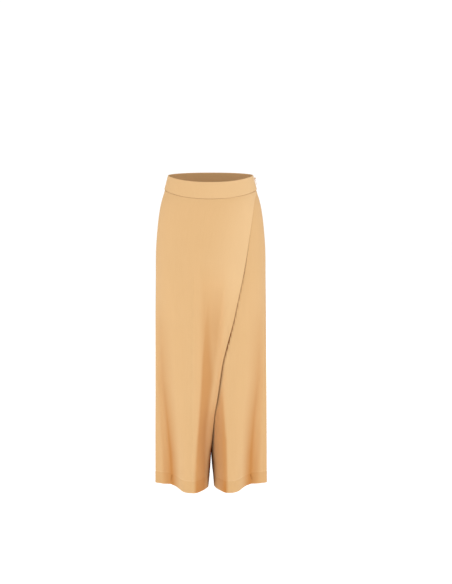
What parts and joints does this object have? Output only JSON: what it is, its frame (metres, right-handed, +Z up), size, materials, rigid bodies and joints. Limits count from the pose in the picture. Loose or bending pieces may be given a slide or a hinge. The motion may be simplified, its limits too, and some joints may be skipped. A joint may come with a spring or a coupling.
{
  "type": "wrap-front palazzo trousers",
  "caption": "Cropped wide-leg trousers with a high flat waistband, a wrap panel crossing the front on the slant, deep plain hems and a side zip, held in worn form.",
  "frame": {"origin": "centre of the waist opening at half the height of the waistband", "axes": "+Z up, the front faces -Y, +X is the wearer's left side"},
  "size_m": [0.337, 0.236, 0.9305],
  "materials": {
    "waistband_cloth": "matte crepe, folded and pressed",
    "panel_cloth": "matte crepe",
    "wrap_cloth": "matte crepe",
    "zip_tape": "plain woven tape",
    "zip_enamel": "enamelled to match the cloth"
  },
  "bodies": {
    "garment": {"waistband_front": "waistband_cloth", "waistband_back": "waistband_cloth", "front_left": "panel_cloth", "front_right": "panel_cloth", "back_left": "panel_cloth", "back_right": "panel_cloth", "front_overlay": "wrap_cloth", "zip_tape": "zip_tape", "zip_slider": "zip_enamel"},
    "zip_pull": {"zip_pull": "zip_enamel"}
  },
  "joints": [
    {"name": "zip_pull_hinge", "type": "hinge", "parent": "garment", "child": "zip_pull", "pos_m": [0.13066, 0, 0.02454], "axis": [0, -1, 0], "range_deg": [0, 150]}
  ]
}
